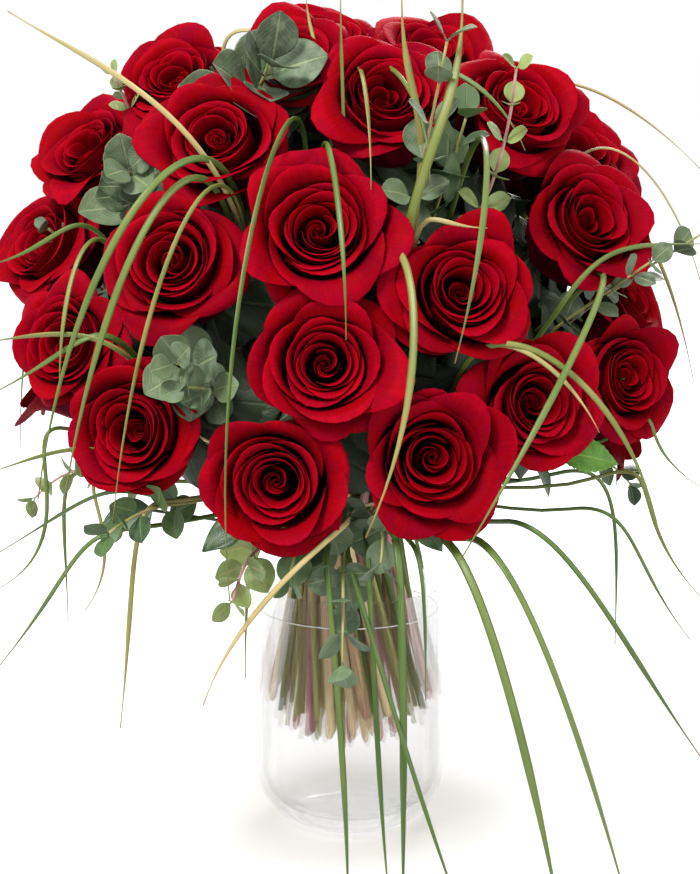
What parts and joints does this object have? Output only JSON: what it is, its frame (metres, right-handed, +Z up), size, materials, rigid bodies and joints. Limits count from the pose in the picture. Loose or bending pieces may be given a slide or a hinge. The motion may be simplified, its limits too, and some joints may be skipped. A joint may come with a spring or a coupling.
{
  "type": "roses in a vase",
  "caption": "Round hand-tied bunch of red roses with eucalyptus sprigs and arching bear grass, standing in water in a straight clear glass vase; a table or shelf decoration",
  "frame": {"origin": "centre of the vase's flat underside, on the surface that it stands on", "axes": "+Z up; -Y is the side of the bunch that faces the viewer, +X is to the viewer's right"},
  "size_m": [0.4209, 0.4157, 0.5071],
  "materials": {
    "vase": "polished",
    "water": "polished",
    "rose": "matte",
    "eucalyptus": "matte",
    "grass": "satin"
  },
  "bodies": {
    "root": {"vase": "vase", "water": "water", "rose_01": "rose", "rose_02": "rose", "rose_03": "rose", "rose_04": "rose", "rose_05": "rose", "rose_06": "rose", "rose_07": "rose", "rose_08": "rose", "rose_09": "rose", "rose_10": "rose", "rose_11": "rose", "rose_12": "rose", "rose_13": "rose", "rose_14": "rose", "rose_15": "rose", "rose_16": "rose", "rose_17": "rose", "rose_18": "rose", "rose_19": "rose", "rose_20": "rose", "rose_21": "rose", "rose_22": "rose", "rose_23": "rose", "rose_24": "rose", "rose_25": "rose", "rose_26": "rose", "rose_27": "rose", "rose_28": "rose", "rose_29": "rose", "rose_30": "rose", "rose_31": "rose", "rose_32": "rose", "rose_33": "rose", "rose_34": "rose", "rose_35": "rose", "rose_36": "rose", "eucalyptus_01": "eucalyptus", "eucalyptus_02": "eucalyptus", "eucalyptus_03": "eucalyptus", "eucalyptus_04": "eucalyptus", "eucalyptus_05": "eucalyptus", "eucalyptus_06": "eucalyptus", "eucalyptus_07": "eucalyptus", "eucalyptus_08": "eucalyptus", "eucalyptus_09": "eucalyptus", "eucalyptus_10": "eucalyptus", "eucalyptus_11": "eucalyptus", "grass_01": "grass", "grass_02": "grass", "grass_03": "grass", "grass_04": "grass", "grass_05": "grass", "grass_06": "grass", "grass_07": "grass", "grass_08": "grass", "grass_09": "grass", "grass_10": "grass", "grass_11": "grass"}
  },
  "joints": []
}
